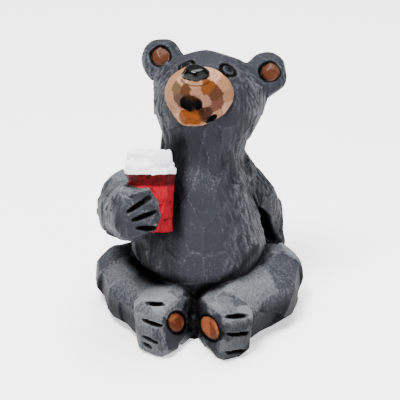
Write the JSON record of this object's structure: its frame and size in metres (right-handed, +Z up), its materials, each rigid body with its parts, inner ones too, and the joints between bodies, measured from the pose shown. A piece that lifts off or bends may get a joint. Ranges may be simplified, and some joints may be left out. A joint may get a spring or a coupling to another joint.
{
  "type": "resin bear figurine",
  "caption": "Cast resin figurine of a seated black bear with a whittled finish, looking up and holding a lidded drinks cup.",
  "frame": {"origin": "on the flat underside, below the middle of the body, where it stands on the ground", "axes": "+Z up, -Y the way the bear faces, +X to the bear's left, which is the right side in the picture"},
  "size_m": [0.0792, 0.0683, 0.1011],
  "materials": {
    "painted_resin": "hand painted cast resin, satin slate grey with dry-brushed edges; tan muzzle, copper ear discs and foot pads, red cup with a white lid, gloss black nose"
  },
  "bodies": {
    "root": {"resin_bear": "painted_resin"}
  },
  "joints": []
}
